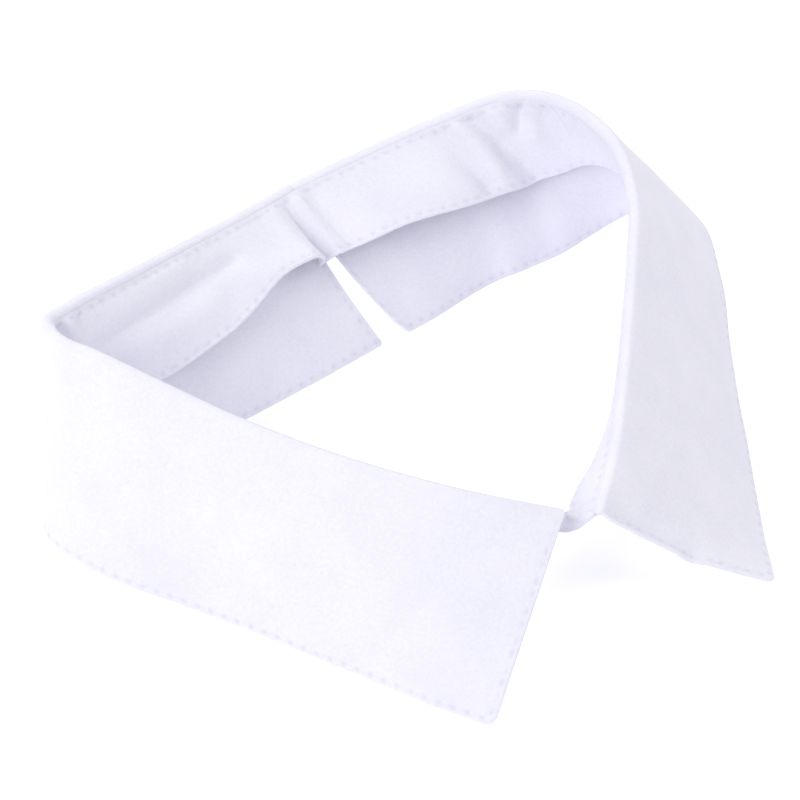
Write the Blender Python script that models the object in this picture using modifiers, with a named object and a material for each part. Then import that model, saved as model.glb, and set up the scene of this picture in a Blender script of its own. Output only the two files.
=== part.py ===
# Detachable shirt collar, standing on its leaf hems with the neckband closed.
# Two turned-down leaves hang from one fold line and part at the centre back and the centre front.
# The stand (neckband) hangs inside them and carries on across the open front.
# Table sizes are millimetres. The frame is +Z up, -Y to the front, +X to the right seen from the front.

import math
from collections import namedtuple

import bmesh
import bpy
from mathutils import Matrix, Vector

MM = 0.001

# Cloth and seams
CLOTH = 1.2            # two layers of cotton with interlining
GAP = 0.3              # left between leaf and stand at their seam
FOLD_RADIUS = 1.0      # middle of the wall, round the fold
LIP = 0.4              # how far a leaf runs down inside its fold before the seam
SOLE_DEPTH = 0.6       # cloth below the table, trimmed off to a flat sole
LAP_LENGTH = 14.0      # the stand's right end lies this far inside its left end
LAP_CLEAR = 0.5        # air between the lapped layers
LAP_DROP = 2.0         # the lapped end sits this far below the end it covers

# Rounded corners at the hem
FRONT_POINT_RADIUS = 3.0
LEFT_BACK_RADIUS = 1.0
RIGHT_BACK_RADIUS = 4.5

# Over this length each leaf's sections turn square to the line across the centre back
BACK_TURN = 8.0

# How finely the sections are laid
STATION_STEP = 4.5
END_STEPS = (0.0, 0.25, 0.7, 1.4, 2.3, 3.4)
ARC_STEPS = 6
LEG_STEPS = 7
STAND_STEPS = 5
STRAP_STEPS = 4

# Centres the box of the finished collar on the origin
SHIFT_X = 0.13
SHIFT_Y = -0.95

# One row for each section across a leaf and the stand behind it, from the centre back to the front.
# fold: top of the fold. hem: the leaf's free edge. belly: how far the leaf bows outwards.
# depth: the stand from the fold to its free edge. bow: how far that edge stands off towards the neck.
# open: angle between leaf and stand, in degrees.
Row = namedtuple("Row", "fold_x fold_y fold_z hem_x hem_y hem_z belly depth bow open")

LEFT_ROWS = (
    Row(-28.1, 55.0, 32.5, -5.4, 35.2, 0.0, 2.5, 20.5, 0.0, 8.0),
    Row(-33.6, 48.9, 33.4, -13.3, 28.7, 0.0, 2.0, 20.2, 3.2, 9.0),
    Row(-39.2, 42.6, 34.6, -21.6, 22.1, 0.0, 1.5, 19.9, 3.2, 11.0),
    Row(-51.7, 29.3, 37.2, -37.7, 9.8, 0.0, 0.8, 23.4, 1.4, 10.0),
    Row(-64.1, 15.7, 40.0, -54.8, -1.0, 0.0, 0.5, 25.6, 0.5, 9.0),
    Row(-73.8, 5.0, 42.2, -68.0, -7.5, 0.0, 0.6, 25.0, 0.3, 10.0),
    Row(-78.1, -1.4, 43.4, -76.5, -12.5, 0.0, 0.8, 22.0, 0.0, 14.0),
    Row(-75.0, -7.5, 44.0, -79.4, -17.5, 0.6, 0.8, 20.0, 0.0, 20.0),
    Row(-66.9, -12.1, 43.8, -79.5, -27.0, 2.5, 0.6, 18.0, 0.0, 26.0),
    Row(-51.1, -20.0, 41.4, -66.5, -39.6, 3.0, 0.5, 16.5, 0.0, 32.0),
    Row(-35.6, -29.1, 40.5, -48.2, -47.0, 1.0, 0.6, 15.0, 0.0, 34.0),
    Row(-19.2, -37.2, 39.8, -30.5, -55.0, 0.0, 0.8, 13.5, 0.0, 36.0),
    Row(-2.1, -43.6, 38.8, -13.8, -63.5, 0.0, 0.8, 12.5, 0.0, 40.0),
    Row(15.6, -47.0, 36.0, 2.2, -72.0, 0.0, 0.6, 11.5, 0.0, 48.0),
    Row(32.7, -46.8, 31.1, 17.8, -79.6, 0.0, 0.3, 11.0, 0.0, 56.0),
)

RIGHT_ROWS = (
    Row(-27.7, 55.4, 32.5, 0.0, 38.5, 0.5, 3.0, 21.0, 0.0, 8.0),
    Row(-19.3, 61.2, 32.9, 2.6, 40.8, 0.0, 2.5, 20.8, 3.0, 9.0),
    Row(-11.0, 66.6, 33.4, 7.4, 44.8, 0.0, 1.6, 20.8, 2.8, 11.0),
    Row(6.2, 75.1, 36.5, 21.6, 57.2, 0.0, 0.8, 22.7, 2.0, 10.0),
    Row(23.6, 80.4, 40.2, 38.4, 67.6, 0.2, 0.4, 23.6, 0.9, 9.0),
    Row(31.3, 76.7, 43.1, 46.9, 73.8, 1.5, 0.3, 22.4, 0.3, 9.0),
    Row(37.7, 70.6, 44.9, 56.1, 77.2, 4.8, 0.3, 20.3, 0.0, 9.0),
    Row(47.4, 56.3, 45.0, 71.0, 69.2, 9.0, 0.3, 17.5, 0.0, 12.0),
    Row(51.2, 40.1, 42.1, 75.2, 50.1, 6.0, 0.4, 16.0, 0.0, 24.0),
    Row(50.3, 23.5, 38.1, 76.2, 30.3, 2.2, 0.6, 15.0, 0.0, 33.0),
    Row(48.6, 6.6, 34.9, 77.1, 10.7, 0.3, 0.6, 14.0, 0.0, 40.0),
    Row(46.6, -10.7, 32.6, 78.0, -8.3, 0.0, 0.3, 13.0, 0.0, 50.0),
    Row(44.2, -28.0, 30.9, 78.9, -26.2, 0.5, -0.6, 12.0, 0.0, 72.0),
    Row(40.3, -45.0, 28.6, 79.8, -42.0, 2.5, -1.8, 9.5, 0.0, 112.0),
)

# The stand past the right leaf's front end, across the open front to the left leaf.
# outer: the edge that the right leaf was joined to. inner: the edge towards the neck.
Strap = namedtuple("Strap", "outer_x outer_y outer_z inner_x inner_y inner_z")

STRAP_ROWS = (
    Strap(37.3, -45.6, 25.2, 33.2, -41.9, 24.6),
)

# The collar's colour and finish
COTTON_COLOUR = (0.86, 0.86, 0.90, 1.0)
COTTON_ROUGHNESS = 0.9


def knots_of(rows):
    """Distance along the first three columns at each row."""
    knots = [0.0]
    for one, two in zip(rows, rows[1:]):
        knots.append(knots[-1] + (Vector(two[:3]) - Vector(one[:3])).length)
    return knots


def slopes_of(knots, values):
    """Slope of a smooth curve at each row, weighted for rows at uneven distances."""
    last = len(knots) - 1
    rates = [(values[i + 1] - values[i]) / (knots[i + 1] - knots[i]) for i in range(last)]
    slopes = [rates[0]]
    for i in range(1, last):
        before = knots[i] - knots[i - 1]
        after = knots[i + 1] - knots[i]
        slopes.append((rates[i - 1] * after + rates[i] * before) / (before + after))
    slopes.append(rates[-1])
    return slopes


def smooth_rows(rows, distances):
    """Rows at any distances, on a smooth curve through the given rows."""
    knots = knots_of(rows)
    slopes = [slopes_of(knots, column) for column in zip(*rows)]
    found = []
    for distance in distances:
        i = 0
        while i < len(knots) - 2 and distance > knots[i + 1]:
            i += 1
        span = knots[i + 1] - knots[i]
        t = (distance - knots[i]) / span
        blend = 3 * t ** 2 - 2 * t ** 3
        rise_0 = span * (t ** 3 - 2 * t ** 2 + t)
        rise_1 = span * (t ** 3 - t ** 2)
        values = []
        for c, (value_0, value_1) in enumerate(zip(rows[i], rows[i + 1])):
            value = (1 - blend) * value_0 + blend * value_1
            values.append(value + rise_0 * slopes[c][i] + rise_1 * slopes[c][i + 1])
        found.append(type(rows[0])(*values))
    return found


def station_distances(length):
    """Stations close together at both ends, where the corners are rounded, and even between."""
    first = END_STEPS[-1]
    count = round((length - 2 * first) / STATION_STEP)
    middle = [first + (length - 2 * first) * i / count for i in range(1, count)]
    return list(END_STEPS) + middle + [length - step for step in reversed(END_STEPS)]


def corner_trim(distance, radius):
    """How much shorter the leaf is at this distance from its end, for a rounded corner."""
    if distance >= radius:
        return 0.0
    return radius - math.sqrt(radius ** 2 - (radius - distance) ** 2)


class Section:
    """One cross-section: a leaf leg and a stand leg on either side of a round fold."""

    def __init__(self, row, along, side, trim):
        fold = Vector((row.fold_x, row.fold_y, row.fold_z))
        self.hem = Vector((row.hem_x, row.hem_y, row.hem_z))
        self.along = along
        self.side = side
        self.row = row
        self.trim = trim
        down = (self.hem - fold).normalized()
        self.out = side * down.cross(along).normalized()
        opening = Matrix.Rotation(side * math.radians(row.open), 3, along)
        self.stand_down = opening @ down
        self.neckward = -(opening @ self.out)
        self.arc_angle = math.pi - math.radians(row.open)
        self.centre = fold - (FOLD_RADIUS + CLOTH / 2) * self.arc_direction(0.5)

    def arc_direction(self, part):
        """From the fold's centre: 0 faces the neck, 1 faces out over the leaf."""
        return Matrix.Rotation(self.side * self.arc_angle * part, 3, self.along) @ self.neckward

    def leaf_points(self):
        """Across the leaf, from the seam inside the fold, over the top and down to the hem."""
        stand_top = self.centre + FOLD_RADIUS * self.neckward
        points = [stand_top + LIP * self.stand_down]
        for i in range(ARC_STEPS + 1):
            points.append(self.centre + FOLD_RADIUS * self.arc_direction(i / ARC_STEPS))
        top = points[-1]
        leg = self.hem - top
        reach = 1 + (SOLE_DEPTH - self.trim) / leg.length
        for i in range(1, LEG_STEPS + 1):
            t = reach * i / LEG_STEPS
            points.append(top + t * leg + 4 * t * (1 - t) * self.row.belly * self.out)
        return points

    def stand_edges(self):
        """The seam edge and the free edge of the stand."""
        stand_top = self.centre + FOLD_RADIUS * self.neckward
        seam = stand_top + (LIP + GAP) * self.stand_down
        free = stand_top + (self.row.depth - FOLD_RADIUS - CLOTH / 2) * self.stand_down
        return seam, free + self.row.bow * self.neckward


def sections_of(rows, side, back_radius, back_along):
    """Dense sections along one leaf. Its back end is cut square to the given direction."""
    length = knots_of(rows)[-1]
    distances = station_distances(length)
    dense = smooth_rows(rows, distances)
    folds = [Vector(row[:3]) for row in dense]
    sections = []
    for i, row in enumerate(dense):
        along = (folds[min(i + 1, len(folds) - 1)] - folds[max(i - 1, 0)]).normalized()
        along = along.lerp(back_along, max(0.0, 1 - distances[i] / BACK_TURN)).normalized()
        trim = corner_trim(distances[i], back_radius)
        trim += corner_trim(length - distances[i], FRONT_POINT_RADIUS)
        sections.append(Section(row, along, side, trim))
    return sections


def stand_lines(left, right):
    """Points across the stand at each station, from its left front end round the back to the lap."""
    pairs = [section.stand_edges() for section in reversed(left)]
    pairs += [section.stand_edges() for section in right]
    lap = []
    front = left[-1].centre
    for section in reversed(left):
        if (section.centre - front).length > LAP_LENGTH:
            break
        seam, free = section.stand_edges()
        inwards = (CLOTH + LAP_CLEAR) * section.neckward
        drop = LAP_DROP * section.stand_down
        lap.append((free + inwards + drop, seam + inwards + drop))
    controls = [pairs[-2], pairs[-1]]
    controls += [(Vector(row[:3]), Vector(row[3:])) for row in STRAP_ROWS]
    controls += [lap[0], lap[1]]
    rows = [Strap(*outer, *inner) for outer, inner in controls]
    knots = knots_of(rows)
    bridge = []
    for start, end in zip(knots[1:-2], knots[2:-1]):
        bridge += [start + (end - start) * i / STRAP_STEPS for i in range(1, STRAP_STEPS + 1)]
    for row in smooth_rows(rows, bridge[:-1]):
        pairs.append((Vector(row[:3]), Vector(row[3:])))
    pairs += lap
    return [[one.lerp(two, i / STAND_STEPS) for i in range(STAND_STEPS + 1)] for one, two in pairs]


def cloth_material(name):
    """White cotton, matt."""
    material = bpy.data.materials.new(name)
    material.use_nodes = True
    shader = material.node_tree.nodes["Principled BSDF"]
    shader.inputs["Base Color"].default_value = COTTON_COLOUR
    shader.inputs["Metallic"].default_value = 0.0
    shader.inputs["Roughness"].default_value = COTTON_ROUGHNESS
    return material


def cloth_piece(name, lines, collection):
    """A wall of cloth lofted through lines of points, each line across the piece."""
    bm = bmesh.new()
    shift = Vector((SHIFT_X, SHIFT_Y, 0.0))
    grid = [[bm.verts.new((point + shift) * MM) for point in line] for line in lines]
    for one, two in zip(grid, grid[1:]):
        for i in range(len(one) - 1):
            bm.faces.new((one[i], one[i + 1], two[i + 1], two[i]))
    mesh = bpy.data.meshes.new(name)
    bm.to_mesh(mesh)
    bm.free()
    piece = bpy.data.objects.new(name, mesh)
    collection.objects.link(piece)
    mesh.materials.append(cloth_material(name + "_cotton"))
    mesh.shade_smooth()
    wall = piece.modifiers.new("wall", "SOLIDIFY")
    wall.thickness = CLOTH * MM
    wall.offset = 0.0
    return piece


def table_cutter(collection):
    """A block below the table, which trims the hems to flat soles."""
    bpy.ops.mesh.primitive_cube_add(size=0.4, location=(0.0, 0.0, -0.2))
    cutter = bpy.context.object
    cutter.name = "table_cutter"
    for other in cutter.users_collection:
        other.objects.unlink(cutter)
    collection.objects.link(cutter)
    cutter.hide_render = True
    cutter.display_type = "WIRE"
    return cutter


def trim_sole(piece, cutter):
    """Cuts a piece flat where it rests on the table."""
    trim = piece.modifiers.new("flat_sole", "BOOLEAN")
    trim.operation = "DIFFERENCE"
    trim.solver = "EXACT"
    trim.object = cutter


def build():
    for old in list(bpy.data.objects):
        bpy.data.objects.remove(old)
    parts = bpy.data.collections.new("detachable_shirt_collar")
    cutters = bpy.data.collections.new("cutters")
    bpy.context.scene.collection.children.link(parts)
    bpy.context.scene.collection.children.link(cutters)

    back_along = (Vector(LEFT_ROWS[1][:3]) - Vector(RIGHT_ROWS[1][:3])).normalized()
    left = sections_of(LEFT_ROWS, 1, LEFT_BACK_RADIUS, back_along)
    right = sections_of(RIGHT_ROWS, -1, RIGHT_BACK_RADIUS, -back_along)
    table = table_cutter(cutters)
    for name, sections in (("leaf_left", left), ("leaf_right", right)):
        leaf = cloth_piece(name, [section.leaf_points() for section in sections], parts)
        trim_sole(leaf, table)
    cloth_piece("stand", stand_lines(left, right), parts)


build()
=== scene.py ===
# Detachable shirt collar in white cotton, turned down over its neckband and standing on its hems.
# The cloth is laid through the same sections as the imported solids, with its creases and stitching added.
import math
from collections import namedtuple

import bmesh
import bpy
import numpy as np
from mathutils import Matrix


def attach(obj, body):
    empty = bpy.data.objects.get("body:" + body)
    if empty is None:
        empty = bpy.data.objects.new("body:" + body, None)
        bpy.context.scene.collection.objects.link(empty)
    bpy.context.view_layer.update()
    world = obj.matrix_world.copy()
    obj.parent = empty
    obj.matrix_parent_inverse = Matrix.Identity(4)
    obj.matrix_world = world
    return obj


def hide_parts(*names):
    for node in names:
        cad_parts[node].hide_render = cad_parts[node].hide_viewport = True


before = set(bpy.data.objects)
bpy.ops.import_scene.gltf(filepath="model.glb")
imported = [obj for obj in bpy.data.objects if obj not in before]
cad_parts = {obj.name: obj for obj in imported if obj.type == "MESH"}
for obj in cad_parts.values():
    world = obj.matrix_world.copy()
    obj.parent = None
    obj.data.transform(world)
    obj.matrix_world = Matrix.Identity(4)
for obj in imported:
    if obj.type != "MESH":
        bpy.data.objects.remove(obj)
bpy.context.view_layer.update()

mm = 0.001
print("frame loaded:", ", ".join(sorted(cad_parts)))


def toLinear(hexColour):
    value = hexColour.lstrip("#")
    channels = [int(value[i:i + 2], 16) / 255 for i in (0, 2, 4)]
    return tuple(c / 12.92 if c <= 0.04045 else ((c + 0.055) / 1.055) ** 2.4 for c in channels) + (1.0,)


def addNode(tree, kind, settings=None, links=None):
    node = tree.nodes.new(kind)
    for name, value in (settings or {}).items():
        if isinstance(name, str) and hasattr(node, name):
            setattr(node, name, value)
        else:
            node.inputs[name].default_value = value
    for name, source in (links or {}).items():
        tree.links.new(source, node.inputs[name])
    return node


# Sizes that all the cloth shares, in millimetres
cloth = {
    "thickness": 1.1,       # two layers of poplin and their interlining
    "thinnest": 0.1,        # what a row of stitches may draw that in to
    "solidWall": 1.2,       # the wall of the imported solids
    "foldRadius": 1.0,      # middle of the wall, round the fold
    "lip": 0.4,             # how far a leaf runs down inside its fold before the seam
    "seamGap": 0.01,        # the seam is closed
    "edgeRound": 0.55,      # turned edges are round
    "foldEdgeRound": 0.12,  # as a share of that at the fold, where a leaf's end is pressed flat
    "backTurn": 8.0,        # the leaves' sections turn square to the centre back over this length
    "creasesFrom": -1.0,    # a leaf's creases begin here, below the top of its fold
    "creasesFull": 4.0,     # and have their whole height here
    "shift": (0.13, -0.95, 0.0),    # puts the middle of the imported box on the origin
}

# Rows of edge stitching, in millimetres, and how they draw each face of the cloth in
sewing = {
    "inset": 1.3,           # from the edge or the seam
    "pitch": 3.2,
    "lineDip": 0.03, "lineWidth": 0.5,
    "holeDip": 0.07,        # more at each needle hole
    "puff": 0.02, "puffAt": 0.8, "puffWidth": 0.4,      # the cloth swells between the row and the edge
    "valleyDip": 0.03, "valleyWidth": 1.8,
    "fadeIn": 3.0,          # a leaf's end rows begin over this length below the fold
}

# How finely the cloth is laid: lines at these distances in from an edge, and even steps between
nearEdge = [0.0, 0.06, 0.2, 0.42, 0.7, 1.0, sewing["inset"], 1.6, 1.9, 2.2, 2.6, 3.1, 3.9]
insetLine = nearEdge.index(sewing["inset"])
lipShares = (1.0, 0.5)
foldSteps = 12
legSteps = 32
foldTop = len(lipShares) + foldSteps    # the line of a leaf's grid that lies along the top of its fold
stepsPerStitch = 6
standSteps = 14
bridgeSteps = 23

# One row for each section across a leaf and the stand behind it, from the centre back to the front.
# fold: top of the fold. hem: the leaf's free edge. belly: how far the leaf bows outwards.
# depth: the stand from the fold to its free edge. bow: how far that edge stands off towards the neck.
# open: angle between leaf and stand, in degrees.
Row = namedtuple("Row", "foldX foldY foldZ hemX hemY hemZ belly depth bow open")

leftRows = (
    Row(-27.94, 55.16, 32.5, -5.4, 35.2, 0.0, 2.5, 20.5, 0.0, 8.0),
    Row(-33.6, 48.9, 33.4, -13.3, 28.7, 0.0, 2.0, 20.2, 3.2, 9.0),
    Row(-39.2, 42.6, 34.6, -21.6, 22.1, 0.0, 1.5, 19.9, 3.2, 11.0),
    Row(-51.7, 29.3, 37.2, -37.7, 9.8, 0.0, 0.8, 23.4, 1.4, 10.0),
    Row(-64.1, 15.7, 40.0, -54.8, -1.0, 0.0, 0.5, 25.6, 0.5, 9.0),
    Row(-73.8, 5.0, 42.2, -68.0, -7.5, 0.0, 0.6, 25.0, 0.3, 10.0),
    Row(-78.1, -1.4, 43.4, -76.5, -12.5, 0.0, 0.8, 22.0, 0.0, 14.0),
    Row(-75.0, -7.5, 44.0, -79.4, -17.5, 0.6, 0.8, 20.0, 0.0, 20.0),
    Row(-66.9, -12.1, 43.8, -79.5, -27.0, 2.5, 0.6, 18.0, 0.0, 26.0),
    Row(-51.1, -20.0, 41.4, -66.5, -39.6, 3.0, 0.5, 16.5, 0.0, 32.0),
    Row(-35.6, -29.1, 40.5, -48.2, -47.0, 1.0, 0.6, 15.0, 0.0, 34.0),
    Row(-19.2, -37.2, 39.8, -30.5, -55.0, 0.0, 0.8, 13.5, 0.0, 36.0),
    Row(-2.1, -43.6, 38.8, -13.8, -63.5, 0.0, 0.8, 12.5, 0.0, 40.0),
    Row(15.6, -47.0, 36.0, 2.2, -72.0, 0.0, 0.6, 11.5, 0.0, 48.0),
    Row(32.7, -46.8, 31.1, 17.8, -79.6, 0.0, 0.3, 11.0, 0.0, 56.0),
)

rightRows = (
    Row(-27.86, 55.24, 32.5, 0.0, 38.5, 0.5, 3.0, 21.0, 0.0, 8.0),
    Row(-19.3, 61.2, 32.9, 2.6, 40.8, 0.0, 2.5, 20.8, 3.0, 9.0),
    Row(-11.0, 66.6, 33.4, 7.4, 44.8, 0.0, 1.6, 20.8, 2.8, 11.0),
    Row(6.2, 75.1, 36.5, 21.6, 57.2, 0.0, 0.8, 22.7, 2.0, 10.0),
    Row(23.6, 80.4, 40.2, 38.4, 67.6, 0.2, 0.4, 23.6, 0.9, 9.0),
    Row(31.3, 76.7, 43.1, 46.9, 73.8, 1.5, 0.3, 22.4, 0.3, 9.0),
    Row(37.7, 70.6, 44.9, 56.1, 77.2, 4.8, 0.3, 20.3, 0.0, 9.0),
    Row(47.4, 56.3, 45.0, 71.0, 69.2, 9.0, 0.3, 17.5, 0.0, 12.0),
    Row(51.2, 40.1, 42.1, 75.2, 50.1, 6.0, 0.4, 16.0, 0.0, 24.0),
    Row(50.3, 23.5, 38.1, 76.2, 30.3, 2.2, 0.6, 15.0, 0.0, 33.0),
    Row(48.6, 6.6, 34.9, 77.1, 10.7, 0.3, 0.6, 14.0, 0.0, 40.0),
    Row(46.6, -10.7, 32.6, 78.0, -8.3, 0.0, 0.3, 13.0, 0.0, 50.0),
    Row(44.2, -28.0, 30.9, 78.9, -26.2, 0.5, -0.6, 12.0, 0.0, 72.0),
    Row(40.3, -45.0, 28.6, 79.8, -42.0, 2.5, -1.8, 9.5, 0.0, 112.0),
)

# The stand past the right leaf's front end, across the open front
strapRow = (37.3, -45.6, 25.2, 33.2, -41.9, 24.6)


def unit(vectors):
    return vectors / np.linalg.norm(vectors, axis=-1, keepdims=True)


def softStep(share):
    share = np.clip(share, 0, 1)
    return share ** 2 * (3 - 2 * share)    # level at 0 and at 1


def turn(vectors, axes, angles):
    # each vector turned about its own axis
    angles = np.asarray(angles)[:, None]
    dots = np.sum(vectors * axes, axis=1, keepdims=True)
    across = np.cross(axes, vectors)
    return vectors * np.cos(angles) + across * np.sin(angles) + axes * dots * (1 - np.cos(angles))


def knotsOf(rows):
    steps = np.linalg.norm(np.diff(rows[:, :3], axis=0), axis=1)
    return np.concatenate(([0.0], np.cumsum(steps)))


def smoothRows(rows, distances):
    # rows at any distances, on a smooth curve through the given rows
    knots = knotsOf(rows)
    gaps = np.diff(knots)[:, None]
    rates = np.diff(rows, axis=0) / gaps
    inner = (rates[:-1] * gaps[1:] + rates[1:] * gaps[:-1]) / (gaps[1:] + gaps[:-1])
    slopes = np.vstack((rates[:1], inner, rates[-1:]))
    i = np.clip(np.searchsorted(knots, distances, side="left") - 1, 0, len(knots) - 2)
    span = gaps[i]
    t = (np.asarray(distances)[:, None] - knots[i][:, None]) / span
    blend = 3 * t ** 2 - 2 * t ** 3
    found = (1 - blend) * rows[i] + blend * rows[i + 1]
    return found + span * ((t ** 3 - 2 * t ** 2 + t) * slopes[i] + (t ** 3 - t ** 2) * slopes[i + 1])


# the way along the fold at the centre back, from right to left
backAlong = unit(np.array(leftRows[1][:3]) - np.array(rightRows[1][:3]))


def sectionsOf(leaf, distances):
    # everything that a leaf and its half of the stand need at each station, in arrays
    side = leaf["side"]
    dense = smoothRows(np.array(leaf["rows"]), distances)
    fold, hem = dense[:, 0:3], dense[:, 3:6]
    along = unit(np.gradient(fold, distances, axis=0))
    weight = np.clip(1 - np.asarray(distances) / cloth["backTurn"], 0, 1)[:, None]
    along = unit(along * (1 - weight) + side * backAlong * weight)
    down = unit(hem - fold)
    out = unit(side * np.cross(down, along))
    opening = side * np.radians(dense[:, 9])
    neckward = -turn(out, along, opening)
    arcAngle = side * (math.pi - np.radians(dense[:, 9]))
    reach = cloth["foldRadius"] + cloth["solidWall"] / 2
    return {
        "hem": hem, "along": along, "out": out, "neckward": neckward, "arcAngle": arcAngle,
        "standDown": turn(down, along, opening),
        "centre": fold - reach * turn(neckward, along, arcAngle / 2),
        "belly": dense[:, 6], "depth": dense[:, 7], "bow": dense[:, 8],
    }


def edgeLines(length, step):
    # lines close together at both ends, where the cloth rounds off, and even between
    middle = length - 2 * nearEdge[-1]
    count = max(1, round(middle / step))
    even = [nearEdge[-1] + middle * i / count for i in range(1, count)]
    return np.array(nearEdge + even + [length - n for n in reversed(nearEdge)])


def cornerTrim(distance, radius):
    # how much a round corner takes off the hem
    inside = np.clip(radius - distance, 0, radius)
    return radius - np.sqrt(np.maximum(radius ** 2 - inside ** 2, 0))


def wallHalf(edge, rounding):
    # half the cloth's thickness, round at its edges over the given length
    within = np.clip(1 - edge / rounding, 0, 1)
    return cloth["thickness"] / 2 * np.sqrt(1 - within ** 2)


def stitchPhase(lines):
    # lines: what one run of stitches passes over, in pieces. Each point gets its place in the run,
    # a whole number at a needle hole and a half number in the middle of a stitch.
    path = np.vstack(lines)
    run = np.concatenate(([0.0], np.cumsum(np.linalg.norm(np.diff(path, axis=0), axis=1))))
    count = round(run[-1] / sewing["pitch"])
    return run * count / run[-1], count


def sewnDip(offset, phase):
    # how far a row of stitches draws each face in, and the share of painted shade at each needle hole
    hole = np.clip(np.cos(2 * math.pi * phase), 0, 1)
    line = np.exp(-(offset / sewing["lineWidth"]) ** 2)
    puff = sewing["puff"] * np.exp(-((offset + sewing["puffAt"]) / sewing["puffWidth"]) ** 2)
    valley = sewing["valleyDip"] * np.exp(-(offset / sewing["valleyWidth"]) ** 2)
    return (sewing["lineDip"] + sewing["holeDip"] * hole) * line - puff + valley, hole * line


def stitchPlaces(path, outward, phase, count):
    # the middle of each stitch, sunk a little into the cloth, and the way out of the cloth there
    places = np.arange(count) + 0.5
    points = path - thread["sunk"] * outward
    return [np.stack([np.interp(places, phase, column) for column in values.T], axis=1)
            for values in (points, outward)]


def creaseHeight(s, w, creases):
    # soft troughs and ridges, each along a line from one place on the cloth to another
    height = np.zeros(np.broadcast(s, w).shape)
    for s0, w0, s1, w1, width, rise0, rise1 in creases:
        ds, dw = s1 - s0, w1 - w0
        t = np.clip(((s - s0) * ds + (w - w0) * dw) / (ds * ds + dw * dw + 1e-9), 0, 1)
        away = np.hypot(s - s0 - t * ds, w - w0 - t * dw)
        height += (rise0 + (rise1 - rise0) * t) * np.exp(-(away / width) ** 2)
    return height


def unevenness(s, w, waves):
    # faint waves that keep the cloth from lying dead flat
    height = np.zeros(np.broadcast(s, w).shape)
    for rise, lengthS, lengthW, start in waves:
        height += rise * np.sin(2 * math.pi * (s / lengthS + w / lengthW) + start)
    return height


def surfaceNormals(points):
    return unit(np.cross(np.gradient(points, axis=1), np.gradient(points, axis=0)))


def gridFaces(index, flip):
    # the corners of every cell of a grid of vertices, in order round the cell
    a, b, c, d = index[:-1, :-1], index[:-1, 1:], index[1:, 1:], index[1:, :-1]
    order = (a, d, c, b) if flip else (a, b, c, d)
    return np.stack(order, axis=-1).reshape(-1, 4)


def cutCorners(faces, onRim):
    # a face with three corners on the rim loses the middle one, on both sides of the cloth alike
    picked = np.flatnonzero(onRim[faces].sum(axis=1) == 3)
    middle = (np.argmin(onRim[faces[picked]], axis=1) + 2) % 4
    faces[picked, middle] = faces[picked, (middle + 1) % 4]
    return faces


def clothShell(name, points, half, paintedHoleShade, s, w, outwardSign, onTable):
    # a closed wall of cloth on both sides of a grid of points; it closes where half is 0
    normals = outwardSign * surfaceNormals(points)
    front = points + half[..., None] * normals
    back = points - half[..., None] * normals
    rim = half <= 1e-6
    index = np.arange(rim.size).reshape(rim.shape)
    backIndex = np.where(rim, index, rim.size + np.cumsum(~rim).reshape(rim.shape) - 1)
    corners = np.vstack((front.reshape(-1, 3), back[~rim]))
    if onTable:
        corners[:, 2] = np.maximum(corners[:, 2], 0.0)
    faces = [gridFaces(index, outwardSign < 0), gridFaces(backIndex, outwardSign > 0)]
    # an unrounded edge, such as the one at the seam, is closed with a strip
    for edge in (0, -1):
        if not rim[:, edge].all():
            strip = np.stack((index[:, edge], backIndex[:, edge]), axis=1)
            faces.append(gridFaces(strip, (edge == 0) == (outwardSign > 0)))
    onRim = np.concatenate((rim.ravel(), np.zeros((~rim).sum(), dtype=bool)))
    faces = cutCorners(np.vstack(faces), onRim)
    # where front and back share vertices, a face has fewer corners or none
    polygons = [tuple(dict.fromkeys(face)) for face in faces.tolist()]
    mesh = bpy.data.meshes.new(name)
    mesh.from_pydata((corners * mm).tolist(), [], [face for face in polygons if len(face) > 2])
    # the share of painted shade at the needle holes, which the material mixes into the cloth's colour
    attribute = mesh.attributes.new("paintedHoleShade", "FLOAT", "POINT")
    attribute.data.foreach_set("value", np.concatenate((paintedHoleShade.ravel(), paintedHoleShade[~rim])).astype(np.float32))
    layer = mesh.uv_layers.new(name="cloth")
    uvs = np.stack((s, w), axis=-1)
    uvs = np.vstack((uvs.reshape(-1, 2), uvs[~rim]))
    loops = np.empty(len(mesh.loops), dtype=np.int32)
    mesh.loops.foreach_get("vertex_index", loops)
    layer.data.foreach_set("uv", uvs[loops].ravel().astype(np.float32))
    shell = bmesh.new()
    shell.from_mesh(mesh)
    loose = [vertex for vertex in shell.verts if not vertex.link_faces]
    bmesh.ops.delete(shell, geom=loose, context="VERTS")
    shell.to_mesh(mesh)
    shell.free()
    mesh.validate()
    mesh.shade_smooth()
    piece = bpy.data.objects.new(name, mesh)
    bpy.context.scene.collection.objects.link(piece)
    return piece, front, back, normals


# Sewing thread, in millimetres: spun cotton, two-ply, a little brighter and smoother than the cloth
thread = {
    "length": 1.9,           # the stitch that shows
    "width": 0.36,
    "sunk": 0.09,
    "ply": 0.5,              # the twist that mottles it
    "relief": 0.05,
    "colour": "#f1f1f8",
    "roughness": 0.7,
}

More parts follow.
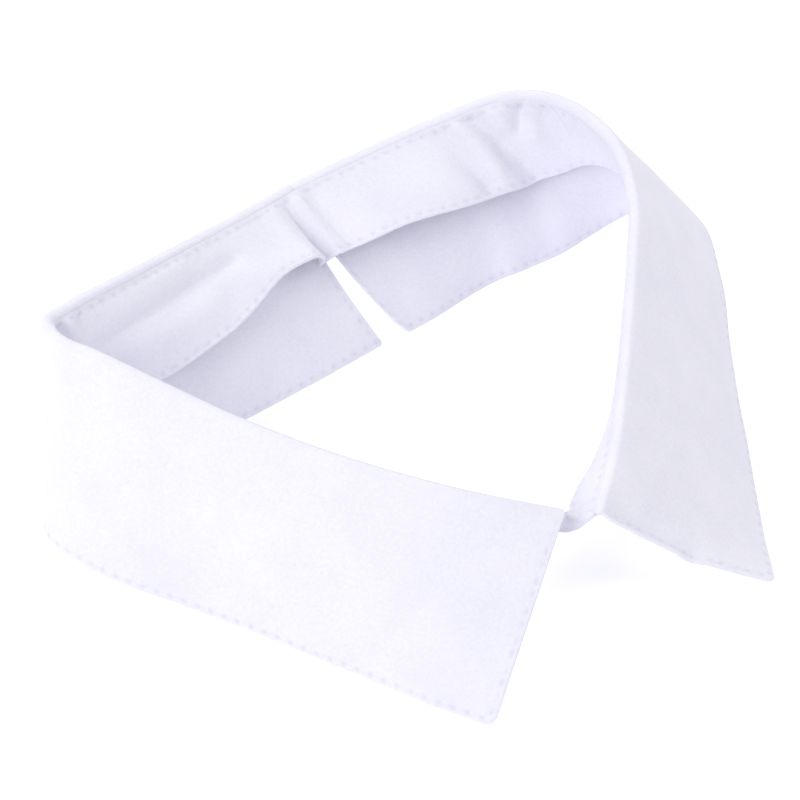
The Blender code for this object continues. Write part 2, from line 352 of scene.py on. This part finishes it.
# Shapes of the two leaves. Creases: from s, w to s, w in mm along the fold and down from it,
# then the width and the rise at each end, positive outwards.
leafLeft = {
    "node": "leaf_left", "rows": leftRows, "side": 1, "backRadius": 1.0, "frontRadius": 2.6,
    "creases": (
        (73, 2, 75, 12, 2.2, -0.5, 0.0),      # two short ones at the corner, under the fold
        (79, 1, 79, 9, 1.8, -0.4, 0.0),
        (84, 3, 92, 30, 6.0, 0.5, 0.2),       # the corner's soft ridge down to the hem
        (24, 6, 40, 30, 5.0, 0.45, 0.1),      # over the back, seen from behind
        (52, 4, 58, 26, 4.0, -0.5, -0.1),
        (118, 28, 150, 36, 7.0, -0.3, -0.4),  # the front hem's slow waves
        (150, 12, 182, 20, 6.0, 0.3, 0.35),
        (176, 38, 188, 44, 4.0, 0.3, 0.5),
    ),
    "waves": ((0.10, 61.0, 90.0, 0.4), (0.07, 33.0, -52.0, 1.9), (0.04, 19.0, 27.0, 3.0)),
}
leafRight = {
    "node": "leaf_right", "rows": rightRows, "side": -1, "backRadius": 4.5, "frontRadius": 2.6,
    "creases": (
        (50, 4, 46, 40, 4.0, -0.5, -0.9),     # under the wrinkled corner, down to the hem
        (57, 3, 56, 38, 3.5, 0.5, 0.7),
        (64, 2, 66, 24, 3.0, -0.6, -0.1),
        (70, 4, 74, 34, 4.0, 0.5, 0.2),
        (20, 8, 26, 34, 5.0, 0.3, 0.4),
        (110, 20, 135, 30, 6.0, -0.3, -0.2),  # slow waves down the right side
        (150, 10, 172, 34, 7.0, 0.35, 0.3),
        (195.5, 3, 196.5, 25, 3.6, -1.2, -1.5),  # the front edge turns down, with a kink below
        (196.8, 27, 197, 42, 3.2, -1.0, -0.1),
        (184, 4, 184, 30, 5.0, 0.5, 0.3),
    ),
    "waves": ((0.12, 67.0, 80.0, 2.1), (0.08, 37.0, -47.0, 0.3), (0.04, 21.0, 24.0, 1.0)),
}


def leafGrid(sections, trim):
    # a leaf's lines from the seam round the fold to the hem: points, mm down from the fold, and leg lengths
    radius, lip = cloth["foldRadius"], cloth["lip"] - cloth["seamGap"] / 2
    start = sections["centre"] + radius * sections["neckward"]
    columns = [start + lip * share * sections["standDown"] for share in lipShares]
    down = [np.full(len(trim), -math.pi * radius - lip * share) for share in lipShares]
    for share in np.linspace(0, 1, foldSteps + 1):
        outwards = turn(sections["neckward"], sections["along"], sections["arcAngle"] * share)
        columns.append(sections["centre"] + radius * outwards)
        down.append(np.full(len(trim), -math.pi * radius * (1 - share)))
    top = columns[-1]
    leg = sections["hem"] - top
    legLength = np.linalg.norm(leg, axis=1)
    cutLength = legLength - trim
    even = [i / legSteps * (cutLength - nearEdge[-1]) for i in range(1, legSteps)]
    for w in even + [cutLength - n for n in reversed(nearEdge)]:
        t = (w / legLength)[:, None]
        columns.append(top + t * leg + 4 * t * (1 - t) * sections["belly"][:, None] * sections["out"])
        down.append(w)
    return np.stack(columns, axis=1) + np.array(cloth["shift"]), np.stack(down, axis=1), legLength


def leafEdge(leaf, s, toHem, length):
    # how far in each point lies from the nearest edge that shows, with round corners
    edge = np.minimum(np.minimum(s, length - s), toHem)
    for toEnd, corner in ((s, leaf["backRadius"]), (length - s, leaf["frontRadius"])):
        inCorner = (toEnd < corner) & (toHem < corner)
        rounded = corner - np.hypot(corner - toEnd, corner - toHem)
        edge = np.where(inCorner, rounded, edge)
    edge[:, -1] = 0.0
    return np.maximum(edge, 0.0)


def makeLeaf(name, leaf):
    side = leaf["side"]
    length = knotsOf(np.array(leaf["rows"]))[-1]
    stations = edgeLines(length, sewing["pitch"] / stepsPerStitch)
    sections = sectionsOf(leaf, stations)
    trim = cornerTrim(stations, leaf["backRadius"]) + cornerTrim(length - stations, leaf["frontRadius"])
    points, w, legLength = leafGrid(sections, trim)
    s = np.broadcast_to(stations[:, None], w.shape)
    toHem = legLength[:, None] - w
    edge = leafEdge(leaf, s, toHem, length)
    # the run of stitches: down the back end, along the hem and up the front end
    lines = np.arange(w.shape[1])
    hemLine = lines[-1] - insetLine
    route = [(insetLine, slice(foldTop, hemLine)),
             (slice(insetLine, -insetLine), hemLine),
             (-1 - insetLine, slice(hemLine, foldTop, -1))]
    phase, count = stitchPhase([points[part] for part in route])
    ends = hemLine - foldTop
    backPhase = np.interp(lines, lines[foldTop:hemLine], phase[:ends])
    frontPhase = np.interp(lines, lines[foldTop + 1:hemLine + 1], phase[-ends:][::-1])
    hemPhase = np.interp(stations, stations[insetLine:-insetLine], phase[ends:-ends])
    endPhase = np.where(s < length / 2, backPhase[None, :], frontPhase[None, :])
    nearHem = toHem < np.minimum(s, length - s)
    # the dip of the stitches, and where shade is painted into the needle holes
    dip, paintedHoleShade = sewnDip(edge - sewing["inset"], np.where(nearHem, hemPhase[:, None], endPhase))
    fade = np.clip(w / sewing["fadeIn"], 0, 1)
    pressed = cloth["foldEdgeRound"]
    half = wallHalf(edge, cloth["edgeRound"] * (pressed + (1 - pressed) * fade))
    drawnIn = np.maximum(half - dip * fade * np.clip(edge, 0, 1), cloth["thinnest"] / 2)
    half = np.where((half > 0) & (edge > 0), drawnIn, 0.0)
    # the creases die out over the fold
    rise = creaseHeight(s, w, leaf["creases"]) + unevenness(s, w, leaf["waves"])
    rise = rise * softStep((w - cloth["creasesFrom"]) / (cloth["creasesFull"] - cloth["creasesFrom"]))
    normals = side * surfaceNormals(points)
    facing = np.sign(np.sum(normals[:, foldTop + legSteps // 2] * sections["out"], axis=1).mean())
    points = points + (facing * rise)[..., None] * normals
    piece, front, back, normals = clothShell(name, points, half, paintedHoleShade * fade, s, w, facing * side, True)
    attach(piece, "root")
    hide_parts(leaf["node"])
    print(name, "done,", len(piece.data.polygons), "faces, length", round(float(length), 1))
    runs = []
    for face, sign in ((front, 1), (back, -1)):
        path = np.vstack([face[part] for part in route])
        outward = sign * np.vstack([normals[part] for part in route])
        runs.append(stitchPlaces(path, outward, phase, count))
    return piece, runs


leafLeftCotton, leafLeftRuns = makeLeaf("leafLeftCotton", leafLeft)
leafRightCotton, leafRightRuns = makeLeaf("leafRightCotton", leafRight)

# The stand, all in one strip. Creases as on the leaves, with s below 0 to the left of the centre back,
# w down from the seam, and the rise positive towards the neck.
stand = {
    "node": "stand",
    "lapLength": 14.0, "lapClear": 0.5, "lapDrop": 2.6,
    "lifts": ((-17.0, 8.0, 1.9), (-9.0, 5.0, 0.9)),    # where the free edge is raised: s, spread and rise
    "step": 0.9,
    "endStep": 0.25,           # one more line this far from each front end
    "rowStart": 3,             # lines between the strip's ends and its rows of stitches
    "widestMargin": 0.3,       # share of the width that the close lines at an edge may take
    "creasesFull": 2.6,        # mm below the seam
    "unsewnRamp": 3.0,         # mm past the leaves over which the sewn edge comes free
    "creases": (
        (-4.6, 3, -3.4, 19, 1.0, -0.6, -3.2),     # the pinch at the centre back, deepest at the free edge
        (-5.6, 1, -5.0, 14, 2.8, -0.5, -0.8),
        (-0.4, 1, -0.2, 19, 2.0, 1.3, 2.3),       # the bulge to its right
        (3.6, 0, 5.2, 11, 1.6, -0.8, -0.3),
        (-8.4, 3, -8.4, 20, 2.8, 0.6, 1.2),
        (-67, 10.5, -26, 7.4, 1.9, -1.0, -0.9),   # long trough on the left half
        (-56, 9.4, -38, 8.3, 2.6, -0.5, -0.5),
        (-58, 15, -36, 14, 3.4, 0.8, 0.9),
        (-60, 4, -40, 3, 2.4, 0.4, 0.5),
        (-23, 13, -12, 17, 4.2, 0.8, 1.2),
        (37.5, 3, 43.5, 18, 2.9, -0.9, -1.8),     # wrinkles at the right corner of the back
        (45.5, 1.5, 50, 9, 2.1, -1.5, -1.6),
        (51.5, 12, 57, 20, 3.0, -1.5, -1.4),
        (57.5, 0.5, 55.4, 7, 1.5, -2.2, -1.0),
        (62, 0.5, 66.5, 5, 1.3, -1.7, -0.6),
        (42.5, 2, 48, 15, 1.9, 0.8, 0.9),
        (51.5, 1, 53, 6, 1.6, 1.1, 0.7),
        (59.8, 0.5, 60, 9, 1.5, 1.5, 0.7),
        (58.5, 10, 63, 17, 3.5, 1.0, 0.6),
        (69, 1, 71, 10, 2.2, 0.7, 0.4),
        (74, 0, 77, 9, 1.8, -0.7, -0.3),
        (-75.6, 0.5, -74.4, 9, 1.4, -2.2, -0.7),  # at the left corner
        (-72.4, 1, -70.8, 9, 1.5, 0.9, 0.3),
        (-69.5, 0, -68.5, 7, 1.2, -1.1, -0.2),
        (-78.5, 0, -78, 8, 1.5, 0.8, 0.2),
        (-120, 5, -96, 6, 2.2, -0.5, -0.5),       # behind the left leaf
        (-160, 4, -150, 9, 2.0, 0.5, 0.4),
        (100, 5, 128, 5, 2.2, -0.4, -0.6),        # along the right side
        (170, 2, 180, 6, 2.0, 0.5, 0.4),
        (184, 2, 188, 6, 1.4, -0.9, -0.6),        # where it bends at the front
        (191, 1, 192.5, 6, 1.2, 0.7, 0.6),
        (195, 1, 196, 6, 1.1, -0.8, -0.5),
        (200.8, 0, 199.8, 5, 1.5, 2.0, 1.2),      # the hollow behind the left leaf's front end
        (197.6, 0, 197.6, 5, 1.1, -0.5, -0.4),
    ),
    "waves": ((0.08, 43.0, 60.0, 0.8), (0.05, 23.0, -31.0, 2.2)),
}


def standStrip(leaf):
    # the stand along one leaf: its stations, the edge at the seam, the free edge and the sections
    length = knotsOf(np.array(leaf["rows"]))[-1]
    s = np.linspace(0, length, round(length / stand["step"]) + 1)
    s = np.sort(np.append(s, length - stand["endStep"]))
    sections = sectionsOf(leaf, s)
    top = sections["centre"] + cloth["foldRadius"] * sections["neckward"]
    seam = top + (cloth["lip"] + cloth["seamGap"] / 2) * sections["standDown"]
    reach = sections["depth"] - cloth["foldRadius"] - cloth["solidWall"] / 2
    for place, spread, lift in stand["lifts"]:
        reach = reach - lift * np.exp(-((-leaf["side"] * s - place) / spread) ** 2)
    free = top + reach[:, None] * sections["standDown"] + sections["bow"][:, None] * sections["neckward"]
    return s, seam, free, sections


def acrossStand(widths):
    # mm down from the seam: close lines at both edges and even ones between
    near = nearEdge[:-1]
    margin = np.minimum(near[-1], widths * stand["widestMargin"])
    fromEdge = [n / near[-1] * margin for n in near]
    even = [margin + i / standSteps * (widths - 2 * margin) for i in range(1, standSteps)]
    return np.stack(fromEdge + even + [widths - n for n in reversed(fromEdge)], axis=1)


def makeStand(name):
    sLeft, seamLeft, freeLeft, left = standStrip(leafLeft)
    sRight, seamRight, freeRight, _ = standStrip(leafRight)
    # the right end laps inside the left one
    keep = sLeft[-1] - sLeft[::-1] <= stand["lapLength"]
    moved = (cloth["solidWall"] + stand["lapClear"]) * left["neckward"] + stand["lapDrop"] * left["standDown"]
    moved = moved[::-1][keep]
    lapOuter = freeLeft[::-1][keep] + moved
    lapInner = seamLeft[::-1][keep] + moved
    controls = np.vstack((np.hstack((seamRight[-2:], freeRight[-2:])), strapRow,
                          np.hstack((lapOuter[:2], lapInner[:2]))))
    knots = knotsOf(controls)
    bridge = smoothRows(controls, np.linspace(knots[1], knots[3], bridgeSteps + 1)[1:-1])
    outer = np.vstack((seamLeft[::-1], seamRight, bridge[:, :3], lapOuter))
    inner = np.vstack((freeLeft[::-1], freeRight, bridge[:, 3:], lapInner))
    steps = np.linalg.norm(np.diff((outer + inner) / 2, axis=0), axis=1)
    stations = np.concatenate(([0.0], np.cumsum(steps)))
    stations = stations - stations[len(sLeft) - 1]
    widths = np.linalg.norm(inner - outer, axis=1)
    w = acrossStand(widths)
    share = (w / widths[:, None])[..., None]
    points = outer[:, None] + share * (inner - outer)[:, None] + np.array(cloth["shift"])
    s = np.broadcast_to(stations[:, None], w.shape)
    # past the leaves the edge that was sewn to them is free, and round
    joined = len(sLeft) + len(sRight)
    edge = np.minimum(np.minimum(s - stations[0], stations[-1] - s), widths[:, None] - w)
    edge[joined:] = np.minimum(edge[joined:], w[joined:])
    half = wallHalf(edge, cloth["edgeRound"])
    # where shade is painted into the needle holes
    paintedHoleShade = np.zeros(w.shape)
    sewn = []
    # one row of stitches under the seam, another above the free edge
    first = stand["rowStart"]
    for column, inwards, span in ((insetLine, 1, slice(first, joined - 1)),
                                  (w.shape[1] - 1 - insetLine, -1, slice(first, len(stations) - first))):
        phase, count = stitchPhase([points[span, column]])
        offset = inwards * (w - w[:, column:column + 1])
        dip, holeShadeShare = sewnDip(offset, np.interp(stations, stations[span], phase)[:, None])
        inSpan = ((stations >= stations[span][0]) & (stations <= stations[span][-1]))[:, None]
        drawnIn = half - dip * inSpan * np.clip(edge, 0, 1)
        half = np.maximum(drawnIn, cloth["thinnest"] / 2) * (half > 0)
        paintedHoleShade = np.maximum(paintedHoleShade, holeShadeShare * inSpan)
        sewn.append((span, column, phase, count))
    half[0], half[-1], half[:, -1], half[joined:, 0] = 0.0, 0.0, 0.0, 0.0
    normals = surfaceNormals(points)
    middle = len(sLeft) // 2
    facing = np.sign(np.sum(normals[middle, w.shape[1] // 2] * left["neckward"][::-1][middle]))
    # the creases die out at the seam, but not past the leaves, where nothing holds the edge
    rise = creaseHeight(s, w, stand["creases"]) + unevenness(s, w, stand["waves"])
    belowSeam = softStep(w / stand["creasesFull"])
    unsewn = np.clip((s - stations[joined - 1]) / stand["unsewnRamp"], 0, 1)
    rise = rise * (belowSeam + (1 - belowSeam) * unsewn)
    points = points + (facing * rise)[..., None] * normals
    piece, front, back, normals = clothShell(name, points, half, paintedHoleShade, s, w, facing, False)
    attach(piece, "root")
    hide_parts(stand["node"])
    print(name, "done,", len(piece.data.polygons), "faces")
    # the seam's stitches show on the neck side only, those of the free edge on both
    runs = []
    for (span, column, phase, count), faces in zip(sewn, (((front, 1),), ((front, 1), (back, -1)))):
        for face, sign in faces:
            runs.append(stitchPlaces(face[span, column], sign * normals[span, column], phase, count))
    return piece, runs


standCotton, standRuns = makeStand("standCotton")

# Woven cotton poplin, bleached: matt, with a faint grain and the soft sheen of short fibres
poplin = {
    "white": "#f0eff9",
    "shade": "#e8e7f4",
    # painted shade in the needle holes, darker than the cloth
    "needleHoleShade": "#dedded",
    "threadSpacing": 0.5,    # mm; real threads lie 0.25 mm apart, too fine to show from here
    "grain": 0.7,            # mm, the mottling of bleached fibres
    "clouds": 14.0,          # mm, wide faint differences in the bleach
    "roughness": 0.88,
    "sheen": 0.2,
    "weaveDepth": 0.03,      # mm
}


def wovenPoplin(name, settings):
    material = bpy.data.materials.new(name)
    material.use_nodes = True
    tree = material.node_tree
    shader = tree.nodes["Principled BSDF"]
    uv = addNode(tree, "ShaderNodeUVMap", {"uv_map": "cloth"})
    split = addNode(tree, "ShaderNodeSeparateXYZ", links={0: uv.outputs[0]})
    waves = []
    for channel in (0, 1):
        turns = addNode(tree, "ShaderNodeMath",
                        {"operation": "MULTIPLY", 1: math.pi / settings["threadSpacing"]},
                        {0: split.outputs[channel]})
        waves.append(addNode(tree, "ShaderNodeMath", {"operation": "SINE"}, {0: turns.outputs[0]}))
    weave = addNode(tree, "ShaderNodeMath", {"operation": "MULTIPLY"},
                    {0: waves[0].outputs[0], 1: waves[1].outputs[0]})
    place = addNode(tree, "ShaderNodeTexCoord")
    fibres = addNode(tree, "ShaderNodeTexNoise",
                     {"Scale": 1 / (settings["grain"] * mm), "Detail": 3.0, "Roughness": 0.6},
                     {"Vector": place.outputs["Object"]})
    clouds = addNode(tree, "ShaderNodeTexNoise",
                     {"Scale": 1 / (settings["clouds"] * mm), "Detail": 2.0, "Roughness": 0.5},
                     {"Vector": place.outputs["Object"]})
    mottle = addNode(tree, "ShaderNodeMath", {"operation": "MULTIPLY", 1: 0.6}, {0: fibres.outputs[0]})
    both = addNode(tree, "ShaderNodeMath", {"operation": "MULTIPLY_ADD", 1: 0.4},
                   {0: clouds.outputs[0], 2: mottle.outputs[0]})
    spread = addNode(tree, "ShaderNodeMapRange", {"From Min": 0.35, "From Max": 0.65},
                     {"Value": both.outputs[0]})
    colour = addNode(tree, "ShaderNodeMix",
                     {"data_type": "RGBA", 6: toLinear(settings["shade"]), 7: toLinear(settings["white"])},
                     {0: spread.outputs[0]})
    softWeave = addNode(tree, "ShaderNodeMath", {"operation": "MULTIPLY", 1: 0.45}, {0: weave.outputs[0]})
    relief = addNode(tree, "ShaderNodeMath", {"operation": "MULTIPLY_ADD", 1: 3.0},
                     {0: fibres.outputs[0], 2: softWeave.outputs[0]})
    bump = addNode(tree, "ShaderNodeBump", {"Strength": 0.6, "Distance": settings["weaveDepth"] * mm},
                   {"Height": relief.outputs[0]})
    # the needle holes darkened in the colour: painted shade in the pits
    holeShadeShare = addNode(tree, "ShaderNodeAttribute", {"attribute_name": "paintedHoleShade"})
    holesShaded = addNode(tree, "ShaderNodeMix", {"data_type": "RGBA", 7: toLinear(settings["needleHoleShade"])},
                      {0: holeShadeShare.outputs["Fac"], 6: colour.outputs[2]})
    tree.links.new(holesShaded.outputs[2], shader.inputs["Base Color"])
    tree.links.new(bump.outputs[0], shader.inputs["Normal"])
    shader.inputs["Roughness"].default_value = settings["roughness"]
    shader.inputs["Sheen Weight"].default_value = settings["sheen"]
    shader.inputs["Sheen Roughness"].default_value = 0.5
    shader.inputs["IOR"].default_value = 1.47
    shader.inputs["Specular IOR Level"].default_value = 0.2
    return material


def spunThread(name, settings):
    material = bpy.data.materials.new(name)
    material.use_nodes = True
    tree = material.node_tree
    shader = tree.nodes["Principled BSDF"]
    place = addNode(tree, "ShaderNodeTexCoord")
    ply = addNode(tree, "ShaderNodeTexNoise", {"Scale": 1 / (settings["ply"] * mm), "Detail": 1.0},
                  {"Vector": place.outputs["Object"]})
    bump = addNode(tree, "ShaderNodeBump", {"Strength": 0.4, "Distance": settings["relief"] * mm},
                   {"Height": ply.outputs[0]})
    shade = addNode(tree, "ShaderNodeMix",
                    {"data_type": "RGBA", 6: toLinear(poplin["shade"]), 7: toLinear(settings["colour"])},
                    {0: ply.outputs[0]})
    tree.links.new(shade.outputs[2], shader.inputs["Base Color"])
    tree.links.new(bump.outputs[0], shader.inputs["Normal"])
    shader.inputs["Roughness"].default_value = settings["roughness"]
    shader.inputs["IOR"].default_value = 1.47
    return material


def stitchTree():
    # one stitch at each point of a path, lying along it and flat on the cloth
    tree = bpy.data.node_groups.new("runOfStitches", "GeometryNodeTree")
    inputs = {"Path": "Geometry", "Length": "Float", "Width": "Float", "Thread": "Material"}
    for name, kind in inputs.items():
        tree.interface.new_socket(name, in_out="INPUT", socket_type="NodeSocket" + kind)
    tree.interface.new_socket("Stitches", in_out="OUTPUT", socket_type="NodeSocketGeometry")
    given = addNode(tree, "NodeGroupInput")
    curve = addNode(tree, "GeometryNodeMeshToCurve", links={0: given.outputs["Path"]})
    bead = addNode(tree, "GeometryNodeMeshUVSphere", {"Segments": 8, "Rings": 5, "Radius": 0.5})
    tangent = addNode(tree, "GeometryNodeInputTangent")
    outward = addNode(tree, "GeometryNodeInputNamedAttribute",
                      {"data_type": "FLOAT_VECTOR", "Name": "outward"})
    facing = addNode(tree, "FunctionNodeAxesToRotation", {"primary_axis": "X", "secondary_axis": "Z"},
                     {0: tangent.outputs[0], 1: outward.outputs[0]})
    size = addNode(tree, "ShaderNodeCombineXYZ",
                   links={0: given.outputs["Length"], 1: given.outputs["Width"], 2: given.outputs["Width"]})
    placed = addNode(tree, "GeometryNodeInstanceOnPoints", links={
        "Points": curve.outputs[0], "Instance": bead.outputs[0], "Rotation": facing.outputs[0],
        "Scale": size.outputs[0]})
    real = addNode(tree, "GeometryNodeRealizeInstances", links={0: placed.outputs[0]})
    smooth = addNode(tree, "GeometryNodeSetShadeSmooth", links={0: real.outputs[0]})
    named = addNode(tree, "GeometryNodeSetMaterial",
                    links={"Geometry": smooth.outputs[0], "Material": given.outputs["Thread"]})
    addNode(tree, "NodeGroupOutput", links={0: named.outputs[0]})
    return tree


def sewnRuns(name, runs, tree, material):
    # runs: the middles of the stitches and the way out of the cloth there, in mm
    points = np.vstack([run[0] for run in runs])
    outward = np.vstack([run[1] for run in runs])
    edges, start = [], 0
    for run in runs:
        edges += [(start + i, start + i + 1) for i in range(len(run[0]) - 1)]
        start += len(run[0])
    mesh = bpy.data.meshes.new(name + "Path")
    mesh.from_pydata((points * mm).tolist(), edges, [])
    attribute = mesh.attributes.new("outward", "FLOAT_VECTOR", "POINT")
    attribute.data.foreach_set("vector", outward.ravel().astype(np.float32))
    path = bpy.data.objects.new(name + "Path", mesh)
    bpy.context.scene.collection.objects.link(path)
    modifier = path.modifiers.new("stitches", "NODES")
    modifier.node_group = tree
    given = {"Length": thread["length"] * mm, "Width": thread["width"] * mm, "Thread": material}
    for socket in tree.interface.items_tree:
        if socket.in_out == "INPUT" and socket.name in given:
            modifier[socket.identifier] = given[socket.name]
    evaluated = path.evaluated_get(bpy.context.evaluated_depsgraph_get())
    sewn = bpy.data.meshes.new_from_object(evaluated)
    bpy.data.objects.remove(path)
    piece = bpy.data.objects.new(name, sewn)
    bpy.context.scene.collection.objects.link(piece)
    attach(piece, "root")
    print(name, "done,", len(sewn.polygons), "faces")
    return piece


poplinMaterial = wovenPoplin("wovenCottonPoplin", poplin)
for piece in (leafLeftCotton, leafRightCotton, standCotton):
    piece.data.materials.append(poplinMaterial)
print("cotton woven")

threadMaterial = spunThread("spunCottonThread", thread)
stitches = stitchTree()
leafLeftStitches = sewnRuns("leafLeftStitches", leafLeftRuns, stitches, threadMaterial)
leafRightStitches = sewnRuns("leafRightStitches", leafRightRuns, stitches, threadMaterial)
standStitches = sewnRuns("standStitches", standRuns, stitches, threadMaterial)

# Table, light and camera
studio = {
    "table": "#fbfbfd",
    "tableReach": 8.0,             # metres from its middle to each side
    "glow": 0.25,                  # light that the translucent table top gives from below
    "sky": "#fbfcff",
    "skyStrength": 0.15,
    "lampSize": 1.0,               # metres
    "lamps": (                     # name, place in metres and power in watts
        ("softTop", (0.0, 0.0, 1.5), 4.6),
        ("softFront", (0.0, -1.2, 0.9), 2.0),
        ("softFrontLeft", (-0.85, -0.85, 0.9), 11.4),
        ("softLeft", (-1.2, 0.0, 0.9), 2.6),
        ("softRight", (1.2, 0.0, 0.9), 7.9),
        ("softBack", (0.0, 1.2, 0.9), 6.2),
        ("softBackLeft", (-0.85, 0.85, 0.9), 2.6),
    ),
    "look": (-1.37, 4.05, 11.6),   # mm
    "distance": 620.0,             # mm
    "elevation": 45.0,             # degrees
    "lens": 123.39,
}


def makeTable():
    # opal glass, rolled and lit from below: to the eye a plain white ground with only faint shadows
    reach = studio["tableReach"]
    mesh = bpy.data.meshes.new("table")
    corners = [(-reach, -reach, 0), (reach, -reach, 0), (reach, reach, 0), (-reach, reach, 0)]
    mesh.from_pydata(corners, [], [(0, 1, 2, 3)])
    table = bpy.data.objects.new("table", mesh)
    bpy.context.scene.collection.objects.link(table)
    glass = bpy.data.materials.new("litOpalGlass")
    glass.use_nodes = True
    shader = glass.node_tree.nodes["Principled BSDF"]
    shader.inputs["Base Color"].default_value = toLinear(studio["table"])
    shader.inputs["Roughness"].default_value = 0.9
    shader.inputs["Specular IOR Level"].default_value = 0.1
    shader.inputs["Emission Color"].default_value = toLinear(studio["table"])
    shader.inputs["Emission Strength"].default_value = studio["glow"]
    mesh.materials.append(glass)


def makeLight():
    world = bpy.data.worlds.new("studio")
    world.use_nodes = True
    sky = world.node_tree.nodes["Background"]
    sky.inputs["Color"].default_value = toLinear(studio["sky"])
    sky.inputs["Strength"].default_value = studio["skyStrength"]
    bpy.context.scene.world = world
    for name, place, power in studio["lamps"]:
        light = bpy.data.lights.new(name, "AREA")
        light.size = studio["lampSize"]
        light.energy = power
        lamp = bpy.data.objects.new(name, light)
        lamp.location = place
        aim = np.array(place) / np.linalg.norm(place)
        lamp.rotation_euler = (math.acos(aim[2]), 0.0, math.atan2(aim[1], aim[0]) + math.pi / 2)
        bpy.context.scene.collection.objects.link(lamp)


def makeCamera():
    camera = bpy.data.objects.new("camera", bpy.data.cameras.new("camera"))
    camera.data.lens = studio["lens"]
    camera.data.sensor_width = 36.0
    camera.data.clip_start = 0.01
    tilt = math.radians(studio["elevation"])
    away = studio["distance"] * np.array((0, -math.cos(tilt), math.sin(tilt)))
    camera.location = (np.array(studio["look"]) + away) * mm
    camera.rotation_euler = (math.pi / 2 - tilt, 0.0, 0.0)
    bpy.context.scene.collection.objects.link(camera)
    bpy.context.scene.camera = camera


makeTable()
makeLight()
makeCamera()
bpy.context.scene.view_settings.view_transform = "Standard"    # whites stay white
print("studio ready")
